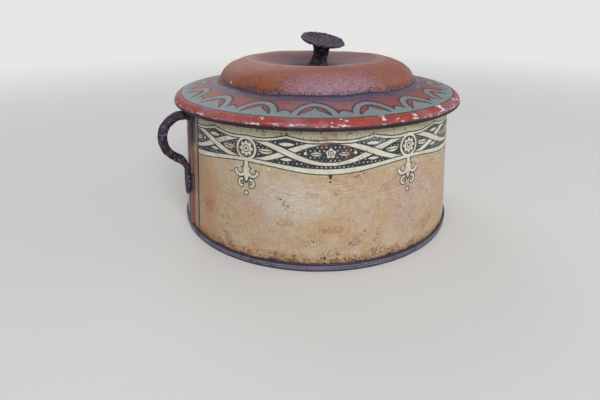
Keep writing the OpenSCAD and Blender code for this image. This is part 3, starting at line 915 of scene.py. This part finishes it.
def drawn_wire():
    c = inks()
    f = Finish("drawn_wire")
    rust = f.noise(3, 4, 0.7, seed=1).rise(0.45, 0.62)
    tone = f.mix(rust, c.wire, c.rust)
    return f.shaded(tone, 0.4 + rust * 0.35, metallic=0.8 * (1 - rust),
                    height=f.noise(0.8, 3, seed=2) * 0.05)


# Tarnished solder, darkened further as painted shade of the handle's leaf beside it
def old_solder():
    c = inks()
    f = Finish("old_solder")
    lumps = f.noise(2.2, 4, 0.65, seed=1)
    tone = f.mix(lumps.rise(0.4, 0.7) * 0.5, c.rust, c.wire)
    tone = f.mix(f.noise(1.5, 4, 0.7, seed=2).rise(0.55, 0.68) * 0.6, tone, c.rust_red)
    return f.shaded(tone, 0.55 + lumps * 0.2, metallic=0.3, height=lumps * 0.3)


MAKERS = {"printed_wall": printed_wall, "bare_tin": bare_tin, "printed_lid": printed_lid,
          "rusty_iron": rusty_iron, "seam_tin": seam_tin, "seam_strip": seam_strip,
          "drawn_wire": drawn_wire, "old_solder": old_solder}


def finish(name):
    """The material of that name, made when it is first asked for."""
    return bpy.data.materials.get(f"{name}_finish") or MAKERS[name]()


# ---------------------------------------------------------------- pieces


class BOBBINBOX_OT_wall(bpy.types.Operator):
    """Makes the printed wall, hooked into the base and rolled over the rim wire"""
    bl_idname = "bobbin_box.wall"
    bl_label = "Wall"

    def execute(self, context):
        s = sizes()
        hook = [(s.hook_r, s.seam_top_z - FOLD_END)] + arc(
            (s.cover_r, s.fold_z), s.pitch, 0, -180)
        side = spaced([(s.wall_foot_r, s.wall_z), (s.wall_top_r, s.rim_z)], 2.2)
        rim = arc((s.rim_r, s.rim_z), s.rim_curl, 180, -70, 20)
        wall = turned("wall", hook + side[:-1] + rim)

        def share(p):
            seam = min(1.0, math.dist((p.x, p.y), (-72, 0)) / 26 - 0.25)
            return min((p.z - 9) / 14, (58 - p.z) / 12, seam)

        face_out(wall, lambda p: Vector((p.x, p.y, 0)).normalized() if 6 < p.z < 60 else Vector())
        dented(wall, 1.1, 30, share, 1)
        thickened(wall, s.sheet, "printed_wall", "bare_tin")
        finished(wall, "pot", "printed_tin", replaces=["body_wall"])
        return {"FINISHED"}


class BOBBINBOX_OT_side_seam(bpy.types.Operator):
    """Makes the folded seam that joins the wall's two edges"""
    bl_idname = "bobbin_box.side_seam"
    bl_label = "Side seam"

    def execute(self, context):
        s = sizes()
        half, face, jog = s.side_seam / 2, s.lock_face, 2 * s.pitch
        section = ([(0.0, -half - 0.5), (0.1, -half + 0.02)]
                   + arc((face - 0.42, -half + 0.42), 0.42, -90, 0, 5)
                   + arc((face - 0.3, half - 0.3), 0.3, 0, 62, 4)
                   + [(0.12, half + jog + 0.1), (0.0, half + jog + 0.6), (-0.15, half + jog),
                      (-0.15, -half)])
        section = spaced(section, 0.6)
        low, high = s.seam + 0.5, s.rim_z - s.rim_curl - 0.5
        count = 36
        seam = started("side_seam", (-wall_radius(s, low) - section[0][0], section[0][1], low))
        for (o0, y0), (o1, y1) in zip(section, section[1:]):
            bpy.ops.mesh.extrude_vertices_move(
                TRANSFORM_OT_translate={"value": (-(o1 - o0) * MM, (y1 - y0) * MM, 0)})
        bpy.ops.mesh.select_all(action="SELECT")
        bpy.ops.mesh.edge_face_add()
        rise = (high - low) / count
        lean = rise * math.tan(s.tilt)
        bpy.ops.mesh.select_all(action="SELECT")
        for _ in range(count):
            bpy.ops.mesh.extrude_region_move(
                TRANSFORM_OT_translate={"value": (lean * MM, 0, rise * MM)})
        cleaned()
        bpy.ops.object.mode_set(mode="OBJECT")
        dented(seam, 0.25, 5, lambda p: 1.0)
        finished(seam, "pot", "printed_tin", finish("seam_strip"))
        return {"FINISHED"}


class BOBBINBOX_OT_base(bpy.types.Operator):
    """Makes the base with its raised panel and double seam"""
    bl_idname = "bobbin_box.base"
    bl_label = "Base"

    def execute(self, context):
        s = sizes()
        t, ch = s.sheet, s.channel
        panel = spaced([(0.0, s.panel), (s.chuck_r - ch, s.panel)], 4)[:-1] + arc(
            (s.chuck_r - ch, s.panel - ch), ch, 90, 0)
        channel = arc((s.chuck_r + ch, t / 2 + ch), ch, 180, 270) + arc(
            (s.seam_wall_r - ch, t / 2 + ch), ch, 270, 360)
        outside = spaced([channel[-1], (s.seam_wall_r, s.seam_top_z)], 0.8)[1:-1]
        hook = arc((s.hook_r, s.seam_top_z), s.pitch, 0, 180) + [
            (s.cover_r, s.fold_z + FOLD_END)]
        base = turned("base", panel + channel + outside + hook)
        face_out(base, lambda p: Vector((0, 0, -1)) if p.to_2d().length < 70 else Vector())
        dented(base, 1.2, 26, lambda p: (68 - p.to_2d().length) / 14, 1)
        dented(base, 0.16, 6, lambda p: 1.0 if p.to_2d().length > 75 else 0.0, 1)
        thickened(base, t, "seam_tin", "bare_tin")
        finished(base, "pot", "bare_tin", replaces=["base_plate"])
        return {"FINISHED"}


class BOBBINBOX_OT_handle(bpy.types.Operator):
    """Makes the wrought handle: a foot, a loop, a reverse bend and a flattened leaf"""
    bl_idname = "bobbin_box.handle"
    bl_label = "Handle"

    def execute(self, context):
        s = sizes()
        rod, loop, out, face = s.rod / 2, s.loop, s.loop_out, s.lock_face
        turn_at = s.loop_turn
        leaf_mid = face + s.leaf_sheet / 2
        start = (out + loop * math.cos(turn_at), -loop * math.sin(turn_at))
        back_r = (start[0] - leaf_mid) / (1 - math.cos(turn_at))
        back = (start[0] + back_r * math.cos(turn_at), start[1] - back_r * math.sin(turn_at))

        def eased(a, b, share):
            return a + (b - a) * share * share * (3 - 2 * share)

        # Rings: distance out, height, heading in degrees above outwards, half width, half thickness
        rings = []
        for i in range(7):
            share = i / 6
            flare = (1 - share) ** 2
            rings.append((face + share * (out - face), loop, 0,
                          rod + 1.3 * flare, rod + 0.8 * flare))
        for i in range(1, 29):
            a = 90 - (90 + math.degrees(turn_at)) * i / 28
            r = math.radians(a)
            rings.append((out + loop * math.cos(r), loop * math.sin(r), a - 90, rod, rod))
        for i in range(1, 13):
            share = i / 12
            a = 180 - math.degrees(turn_at) * (1 - share)
            r = math.radians(a)
            rings.append((back[0] + back_r * math.cos(r), back[1] + back_r * math.sin(r),
                          a + 90 - 360,
                          eased(rod, s.leaf_width / 2, share),
                          eased(rod, s.leaf_sheet / 2, share)))
        top = back[1]
        tip = s.leaf_width / 2
        for i in range(1, 9):
            a = math.radians(86 * i / 8)
            rings.append((leaf_mid, top - s.leaf + tip * (1 - math.sin(a)), -90,
                          tip * math.cos(a), s.leaf_sheet / 2 * (1 - 0.25 * i / 8)))

        first = rings[0]
        bpy.ops.object.select_all(action="DESELECT")
        bpy.ops.mesh.primitive_circle_add(
            vertices=20, radius=MM, fill_type="NGON", rotation=(0, math.pi / 2, 0),
            location=(-first[0] * MM, 0, first[1] * MM))
        bpy.ops.object.transform_apply(location=True, rotation=True)
        handle = context.object
        handle.name = handle.data.name = "handle_rod"
        bpy.ops.object.mode_set(mode="EDIT")
        bpy.ops.mesh.select_all(action="SELECT")
        place = (-first[0] * MM, 0, first[1] * MM)
        stretch((1, first[3], first[4]), place)
        for before, now in zip(rings, rings[1:]):
            move = ((before[0] - now[0]) * MM, 0, (now[1] - before[1]) * MM)
            bpy.ops.mesh.extrude_region_move(TRANSFORM_OT_translate={"value": move})
            place = (-now[0] * MM, 0, now[1] * MM)
            turn(-math.radians(before[2]), "Y", place)
            stretch((1, now[3] / before[3], now[4] / before[4]), place)
            turn(math.radians(now[2]), "Y", place)
        cleaned()
        # From the wall's own plane to its lean
        turn(s.tilt, "Y")
        bpy.ops.transform.translate(
            value=(-wall_radius(s, s.loop_z) * MM, 0, s.loop_z * MM))
        bpy.ops.object.mode_set(mode="OBJECT")
        apply(handle, "SUBSURF", levels=1, render_levels=1)
        dented(handle, 0.7, 5, lambda p: min(1, (-p.x - 73.2) / 1.5), 1)
        apply(handle, "SUBSURF", levels=1, render_levels=1)
        dented(handle, 0.35, 1.1, lambda p: min(1, (-p.x - 73.0) / 1.0), 2)
        finished(handle, "pot", "rusty_iron", finish("rusty_iron"), replaces=["handle"])
        return {"FINISHED"}


class BOBBINBOX_OT_lid(bpy.types.Operator):
    """Makes the pressed lid with its dish, dome, hollow, brim and rolled edge"""
    bl_idname = "bobbin_box.lid"
    bl_label = "Lid"

    def execute(self, context):
        s = sizes()
        slope, nose, curl = s.slope, s.nose, s.lid_curl
        nose_end = math.radians(NOSE_END)
        nose_r0 = (s.rim_r + s.brim_overhang - curl - s.sheet / 2
                   - (nose - curl) * math.cos(nose_end) + nose * math.sin(slope))
        nose_c = (nose_r0 - nose * math.sin(slope),
                  brim_height(s, nose_r0) - nose * math.cos(slope))
        wire_c = (nose_c[0] + (nose - curl) * math.cos(nose_end),
                  nose_c[1] + (nose - curl) * math.sin(nose_end))
        foot_r, crest_r, floor_r = s.dome / 2, s.crest / 2, s.dish_floor / 2
        foot_z = brim_height(s, foot_r) - 0.4
        floor_z = foot_z + s.dome_rise - s.dish
        dish = [(floor_r + (crest_r - floor_r) * i / 20,
                 floor_z + s.dish * (1 - math.cos(math.pi * i / 20)) / 2) for i in range(21)]
        dome = []
        for i in range(1, 21):
            a = math.radians(90 - 82 * i / 20)
            dome.append((crest_r + (foot_r - crest_r) * math.cos(a),
                         foot_z + s.dome_rise * math.sin(a)))
        out_r = foot_r + s.hollow
        hollow = bend(dome[-1], (foot_r, brim_height(s, foot_r)), (out_r, brim_height(s, out_r)))
        turned_down = arc(nose_c, nose, 90 - math.degrees(slope), NOSE_END, 10)
        rolled = arc(wire_c, curl, NOSE_END, -205, 22)
        path = ([(2.9, floor_z), (5, floor_z), (7.5, floor_z)] + dish + dome + hollow[1:]
                + spaced([hollow[-1], turned_down[0]], 1.5)[1:-1] + turned_down + rolled[1:])
        lid = turned("lid", path)
        face_out(lid, lambda p: Vector((0, 0, 1)) if p.to_2d().length < 68 else Vector())
        for depth, grain, inner in ((1.0, 24, 12), (0.35, 9, 16)):
            dented(lid, depth, grain, lambda p: min((p.to_2d().length - inner) / 14,
                                                    (60 - p.to_2d().length) / 6), 1)
        thickened(lid, s.sheet, "printed_lid", "bare_tin")
        finished(lid, "lid", "red_tin", replaces=["lid_pan"])
        return {"FINISHED"}


class BOBBINBOX_OT_collar(bpy.types.Operator):
    """Makes the hemmed collar that drops into the pot"""
    bl_idname = "bobbin_box.collar"
    bl_label = "Collar"

    def execute(self, context):
        s = sizes()
        r = s.mouth_r - s.collar_gap - s.sheet / 2
        top = brim_height(s, r + s.sheet / 2) - s.sheet / 2 / math.cos(s.slope) - SOLDER_GAP
        bottom = s.pot - s.collar
        path = (spaced([(r, top), (r, bottom + s.pitch)], 1.0)[:-1]
                + arc((r - s.pitch / 2, bottom + s.pitch), s.pitch / 2, 0, -180)
                + [(r - s.pitch, bottom + s.hem)])
        collar = turned("collar", path)
        face_out(collar, lambda p: Vector((p.x, p.y, 0)).normalized() if p.z > 64 else Vector())
        thickened(collar, s.sheet, "bare_tin", "bare_tin")
        finished(collar, "lid", "bare_tin", replaces=["lid_collar"])
        return {"FINISHED"}


class BOBBINBOX_OT_knob(bpy.types.Operator):
    """Makes the knob: a flared foot, a fluted waist and a dished cap"""
    bl_idname = "bobbin_box.knob"
    bl_label = "Knob"

    def execute(self, context):
        s = sizes()
        foot_r, waist_r, cap_r, high, edge = (
            s.foot / 2, s.waist / 2, s.cap / 2, s.knob, s.cap_edge)
        waist_z = high * 0.5
        foot = bend((foot_r + 0.5, -2), (waist_r, 0.15 * high), (waist_r, waist_z), 10)
        flare = bend((waist_r, waist_z), (waist_r, high - edge - 0.2),
                     (cap_r - edge / 2, high - edge), 12)
        rim = arc((cap_r - edge / 2, high - edge / 2), edge / 2, -90, 90, 6)
        dip = bend((cap_r - edge / 2, high), (cap_r / 2, high - s.cap_hollow),
                   (0, high - s.cap_hollow), 8)
        knob = turned("knob_turned", [(0, -2)] + foot + flare[1:] + rim[1:] + dip[1:], 72)
        bpy.ops.object.mode_set(mode="EDIT")

        def fluted(p):
            column = round(math.degrees(math.atan2(p.y, p.x)) / FLUTE_COLUMN) % FLUTE_COLUMNS
            return column == 0 and -1.9 < p.z < 10.5 and 3 < p.to_2d().length < 6.6

        pick(knob, fluted)
        stretch((0.86, 0.86, 1))
        bpy.ops.mesh.select_all(action="SELECT")
        turn(s.lean, "X")
        turn(s.lean_heading, "Z")
        low, high_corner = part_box("knob_rivet")
        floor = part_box("knob")[0].z
        axis = (low + high_corner) / 2
        bpy.ops.transform.translate(value=(axis.x, axis.y, floor))
        bpy.ops.mesh.bisect(
            plane_co=(0, 0, floor), plane_no=(0, 0, 1), use_fill=True, clear_inner=True)
        cleaned()
        bpy.ops.object.mode_set(mode="OBJECT")
        apply(knob, "SUBSURF", levels=1, render_levels=1)
        start = floor / MM + 0.4
        dented(knob, 0.8, 3.2, lambda p: (p.z - start) / 2, 1)
        dented(knob, 0.5, 1.3, lambda p: (p.z - start) / 2, 2)
        finished(knob, "lid", "rusty_iron", finish("rusty_iron"), replaces=["knob"])
        return {"FINISHED"}


class BOBBINBOX_OT_fittings(bpy.types.Operator):
    """Gives the wires, the solder, the washer and the rivet their finish"""
    bl_idname = "bobbin_box.fittings"
    bl_label = "Fittings"

    def execute(self, context):
        for node, name in (("rim_wire", "drawn_wire"), ("lid_rim_wire", "drawn_wire"),
                           ("knob_washer", "drawn_wire"), ("knob_rivet", "drawn_wire"),
                           ("collar_solder", "old_solder"), ("handle_solder", "old_solder")):
            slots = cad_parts[node].material_slots
            for slot in slots:
                slot.material = finish(name)
            if not slots:
                raise RuntimeError(f"{node} has no material slot")
        return {"FINISHED"}


class BOBBINBOX_OT_stage(bpy.types.Operator):
    """Sets the floor, the soft studio light and the camera"""
    bl_idname = "bobbin_box.stage"
    bl_label = "Stage"

    def execute(self, context):
        scene = context.scene
        scene.view_settings.view_transform = "Standard"
        bpy.ops.object.select_all(action="DESELECT")
        bpy.ops.mesh.primitive_plane_add(size=30)
        floor = context.object
        floor.name = floor.data.name = "floor"
        pale = srgb(231, 231, 229)
        paper = Finish("floor")
        tone = paper.mix(paper.noise(60, 3, seed=1) * 0.15, pale, srgb(224, 223, 222))
        lit = paper.node("ShaderNodeBsdfPrincipled", None, {"Base Color": tone, "Roughness": 0.9})
        far = paper.node("ShaderNodeEmission", None, {"Color": pale})
        share = paper.seen() * paper.length(paper.x, paper.y).rise(220, 900)
        surface = paper.node("ShaderNodeMixShader", None, {0: share, 1: lit, 2: far})
        paper.node("ShaderNodeOutputMaterial", None, {"Surface": surface})
        floor.data.materials.append(paper.material)

        world = bpy.data.worlds.new("studio")
        world.use_nodes = True
        air = Nodes(world.node_tree)
        room = air.node("ShaderNodeBackground", None, {"Color": (0.96, 0.98, 1), "Strength": 0.35})
        white = air.node("ShaderNodeBackground", None, {"Color": pale, "Strength": 1.0})
        surface = air.node("ShaderNodeMixShader", None, {0: air.seen(), 1: room, 2: white})
        air.node("ShaderNodeOutputWorld", None, {"Surface": surface})
        scene.world = world

        for name, place, size, power in (
                ("key", (-0.25, -1.15, 0.8), 0.7, 11.5), ("fill", (1.2, -0.4, 0.6), 1.0, 1.4),
                ("back", (0.1, 1.2, 0.9), 1.0, 4)):
            lamp = bpy.data.lights.new(name, "AREA")
            lamp.shape = "DISK"
            lamp.size = size
            lamp.energy = power
            stand = bpy.data.objects.new(name, lamp)
            scene.collection.objects.link(stand)
            stand.location = place
            aim = Vector((0, 0, 0.04)) - Vector(place)
            stand.rotation_euler = aim.to_track_quat("-Z", "Y").to_euler()

        lens = bpy.data.cameras.new("camera")
        lens.lens = 24.86
        lens.sensor_width = 36
        lens.clip_start = 0.01
        camera = bpy.data.objects.new("camera", lens)
        scene.collection.objects.link(camera)
        turned_by = (Matrix.Rotation(math.radians(-27.811), 4, "Z")
                     @ Matrix.Rotation(math.radians(64.662), 4, "X")
                     @ Matrix.Rotation(math.radians(-0.25), 4, "Z"))
        camera.matrix_world = Matrix.Translation((-0.11567, -0.20034, 0.10958)) @ turned_by
        scene.camera = camera
        return {"FINISHED"}


PIECES = (BOBBINBOX_OT_wall, BOBBINBOX_OT_side_seam, BOBBINBOX_OT_base, BOBBINBOX_OT_handle,
          BOBBINBOX_OT_lid, BOBBINBOX_OT_collar, BOBBINBOX_OT_knob, BOBBINBOX_OT_fittings,
          BOBBINBOX_OT_stage)


class BOBBINBOX_PT_panel(bpy.types.Panel):
    """Lists the pieces, sizes and colours of the bobbin box"""
    bl_idname = "BOBBINBOX_PT_panel"
    bl_label = "Bobbin box"
    bl_space_type = "VIEW_3D"
    bl_region_type = "UI"
    bl_category = "Bobbin box"

    def draw(self, context):
        for piece in PIECES:
            self.layout.operator(piece.bl_idname)
        for group in (context.scene.bobbin_box_sizes, context.scene.bobbin_box_colours):
            box = self.layout.box()
            for name in type(group).__annotations__:
                box.prop(group, name)


CLASSES = (BobbinBoxSizes, BobbinBoxColours, *PIECES, BOBBINBOX_PT_panel)


def register():
    for cls in CLASSES:
        bpy.utils.register_class(cls)
    bpy.types.Scene.bobbin_box_sizes = bpy.props.PointerProperty(type=BobbinBoxSizes)
    bpy.types.Scene.bobbin_box_colours = bpy.props.PointerProperty(type=BobbinBoxColours)


def unregister():
    del bpy.types.Scene.bobbin_box_colours
    del bpy.types.Scene.bobbin_box_sizes
    for cls in reversed(CLASSES):
        bpy.utils.unregister_class(cls)


def main():
    register()
    for piece in PIECES:
        group, name = piece.bl_idname.split(".")
        getattr(getattr(bpy.ops, group), name)()


if __name__ == "__main__":
    main()
